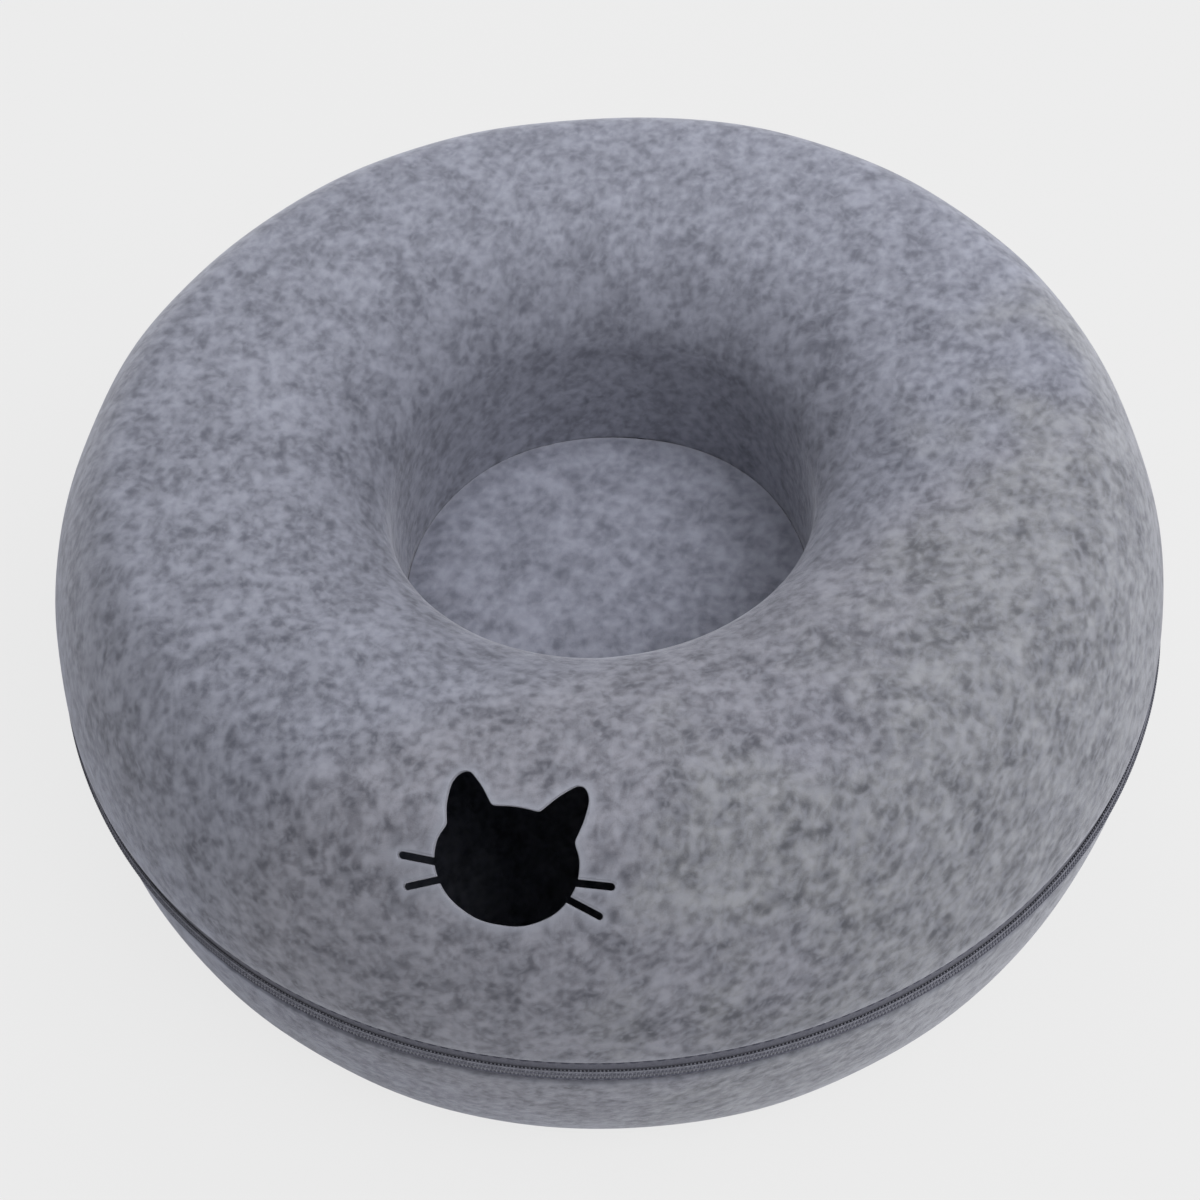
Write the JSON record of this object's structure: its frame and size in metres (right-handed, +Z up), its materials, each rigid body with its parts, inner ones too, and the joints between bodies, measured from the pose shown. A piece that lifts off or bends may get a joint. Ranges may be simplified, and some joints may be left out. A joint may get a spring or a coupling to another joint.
{
  "type": "donut cat tunnel",
  "caption": "Felt ring tunnel for cats in two moulded halves zipped together, with a round mat in its well, a cat-face peephole and a rear entrance.",
  "frame": {"origin": "on the floor, under the middle of the ring", "axes": "+Z up; -Y towards the side with the cat-face peephole; +Y towards the entrance"},
  "size_m": [0.5022, 0.5022, 0.2],
  "materials": {
    "grey_felt": "dense needle felt in mottled blue-grey",
    "mat_felt": "the same felt over a soft pad",
    "zip_tape": "dark grey woven tape",
    "zip_teeth": "dark grey coil",
    "zip_metal": "dark grey lacquer, satin"
  },
  "bodies": {
    "lower": {"lower_shell": "grey_felt", "outer_lower_tape": "zip_tape", "outer_lower_teeth": "zip_teeth", "outer_lower_top_stop": "zip_metal", "outer_retainer_box": "zip_metal", "inner_lower_tape": "zip_tape", "inner_lower_teeth": "zip_teeth", "inner_lower_top_stop": "zip_metal", "inner_retainer_box": "zip_metal"},
    "upper": {"upper_shell": "grey_felt", "outer_upper_tape": "zip_tape", "outer_upper_teeth": "zip_teeth", "outer_upper_top_stop": "zip_metal", "outer_insertion_pin": "zip_metal", "inner_upper_tape": "zip_tape", "inner_upper_teeth": "zip_teeth", "inner_upper_top_stop": "zip_metal", "inner_insertion_pin": "zip_metal"},
    "mat": {"centre_mat": "mat_felt"},
    "outer_slider": {"outer_slider": "zip_metal"},
    "outer_pull": {"outer_pull": "zip_metal"},
    "inner_slider": {"inner_slider": "zip_metal"},
    "inner_pull": {"inner_pull": "zip_metal"}
  },
  "joints": [
    {"name": "upper_lift", "type": "slide", "parent": "lower", "child": "upper", "axis": [0, 0, 1], "range_m": [0, 0.15]},
    {"name": "mat_lift", "type": "slide", "parent": "lower", "child": "mat", "axis": [0, 0, 1], "range_m": [0, 0.14]},
    {"name": "outer_zip", "type": "hinge", "parent": "lower", "child": "outer_slider", "pos_m": [0, 0, 0.0984], "axis": [0, 0, 1], "range_deg": [-351, 0], "deforming": ["outer_upper_teeth", "outer_lower_teeth"]},
    {"name": "outer_pull_swing", "type": "hinge", "parent": "outer_slider", "child": "outer_pull", "pos_m": [0.22166, 0.12423, 0.0984], "axis": [0, 0, 1], "range_deg": [0, 170]},
    {"name": "inner_zip", "type": "hinge", "parent": "lower", "child": "inner_slider", "pos_m": [0, 0, 0.08145], "axis": [0, 0, 1], "range_deg": [-339, 0], "deforming": ["inner_upper_teeth", "inner_lower_teeth"]},
    {"name": "inner_pull_swing", "type": "hinge", "parent": "inner_slider", "child": "inner_pull", "pos_m": [0.0224, 0.10299, 0.08145], "axis": [0, 0, 1], "range_deg": [0, 170]}
  ]
}
